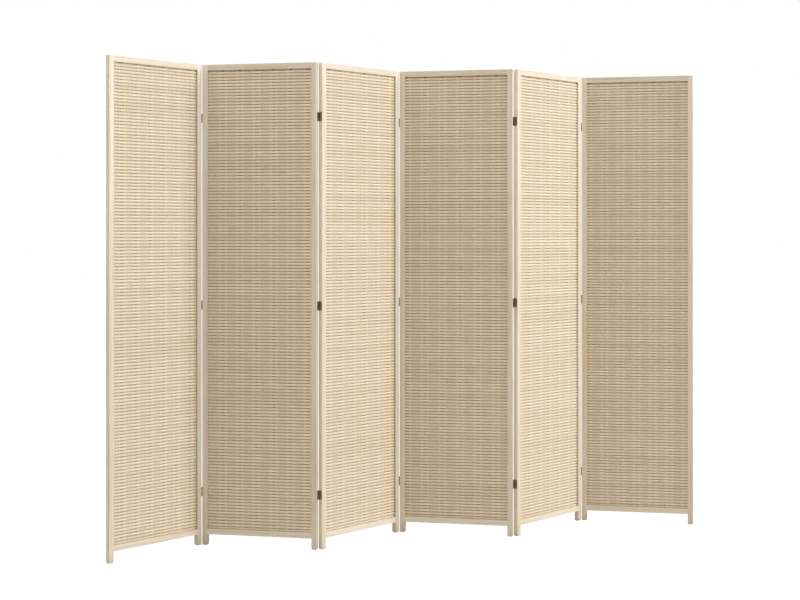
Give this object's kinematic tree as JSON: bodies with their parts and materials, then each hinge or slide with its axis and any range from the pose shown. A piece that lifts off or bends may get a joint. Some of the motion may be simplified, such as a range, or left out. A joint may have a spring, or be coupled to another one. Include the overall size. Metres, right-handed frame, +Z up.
{
  "type": "accordion folding partition",
  "caption": "Free-standing accordion room divider: tall light wood frames with woven bamboo infill, joined edge to edge by small butt hinges that fold both ways",
  "frame": {"origin": "on the floor, at the middle of the box of the standing zigzag in X and Y", "axes": "+X runs along the screen from the first panel to the last, +Y goes through it to the back, +Z is up; the screen's front, with its free ends and the ridge folds nearest, faces -Y"},
  "size_m": [2.3452, 0.2472, 1.8],
  "materials": {
    "frame_wood": "pale pine, planed and clear lacquered, satin",
    "weft_bamboo": "split bamboo strips with rounded natural faces, satin",
    "warp_bamboo": "flat bamboo strips, darker, matt",
    "hinge_metal": "antique bronze plated, dull",
    "screw_metal": "antique bronze plated, dull"
  },
  "bodies": {
    "panel_1": {"panel_1_left_stile": "frame_wood", "panel_1_right_stile": "frame_wood", "panel_1_top_rail": "frame_wood", "panel_1_bottom_rail": "frame_wood", "panel_1_weft_strips": "weft_bamboo", "panel_1_warp_strips": "warp_bamboo", "panel_1_hinge_screws": "screw_metal", "fold_1_left_leaves": "hinge_metal", "fold_1_pins": "hinge_metal"},
    "panel_2": {"panel_2_left_stile": "frame_wood", "panel_2_right_stile": "frame_wood", "panel_2_top_rail": "frame_wood", "panel_2_bottom_rail": "frame_wood", "panel_2_weft_strips": "weft_bamboo", "panel_2_warp_strips": "warp_bamboo", "panel_2_hinge_screws": "screw_metal", "fold_2_left_leaves": "hinge_metal", "fold_1_right_leaves": "hinge_metal"},
    "panel_3": {"panel_3_left_stile": "frame_wood", "panel_3_right_stile": "frame_wood", "panel_3_top_rail": "frame_wood", "panel_3_bottom_rail": "frame_wood", "panel_3_weft_strips": "weft_bamboo", "panel_3_warp_strips": "warp_bamboo", "panel_3_hinge_screws": "screw_metal", "fold_3_left_leaves": "hinge_metal", "fold_3_pins": "hinge_metal", "fold_2_right_leaves": "hinge_metal", "fold_2_pins": "hinge_metal"},
    "panel_4": {"panel_4_left_stile": "frame_wood", "panel_4_right_stile": "frame_wood", "panel_4_top_rail": "frame_wood", "panel_4_bottom_rail": "frame_wood", "panel_4_weft_strips": "weft_bamboo", "panel_4_warp_strips": "warp_bamboo", "panel_4_hinge_screws": "screw_metal", "fold_4_left_leaves": "hinge_metal", "fold_3_right_leaves": "hinge_metal"},
    "panel_5": {"panel_5_left_stile": "frame_wood", "panel_5_right_stile": "frame_wood", "panel_5_top_rail": "frame_wood", "panel_5_bottom_rail": "frame_wood", "panel_5_weft_strips": "weft_bamboo", "panel_5_warp_strips": "warp_bamboo", "panel_5_hinge_screws": "screw_metal", "fold_5_left_leaves": "hinge_metal", "fold_5_pins": "hinge_metal", "fold_4_right_leaves": "hinge_metal", "fold_4_pins": "hinge_metal"},
    "panel_6": {"panel_6_left_stile": "frame_wood", "panel_6_right_stile": "frame_wood", "panel_6_top_rail": "frame_wood", "panel_6_bottom_rail": "frame_wood", "panel_6_weft_strips": "weft_bamboo", "panel_6_warp_strips": "warp_bamboo", "panel_6_hinge_screws": "screw_metal", "fold_5_right_leaves": "hinge_metal"}
  },
  "joints": [
    {"name": "fold_1", "type": "hinge", "parent": "panel_1", "child": "panel_2", "pos_m": [-0.78272, 0.10901, 0.9], "axis": [0, 0, -1], "range_deg": [-63, 117]},
    {"name": "fold_2", "type": "hinge", "parent": "panel_2", "child": "panel_3", "pos_m": [-0.39136, -0.10901, 0.9], "axis": [0, 0, 1], "range_deg": [-63, 117]},
    {"name": "fold_3", "type": "hinge", "parent": "panel_3", "child": "panel_4", "pos_m": [0, 0.10901, 0.9], "axis": [0, 0, -1], "range_deg": [-63, 117]},
    {"name": "fold_4", "type": "hinge", "parent": "panel_4", "child": "panel_5", "pos_m": [0.39136, -0.10901, 0.9], "axis": [0, 0, 1], "range_deg": [-63, 117]},
    {"name": "fold_5", "type": "hinge", "parent": "panel_5", "child": "panel_6", "pos_m": [0.78272, 0.10901, 0.9], "axis": [0, 0, -1], "range_deg": [-63, 117]}
  ]
}
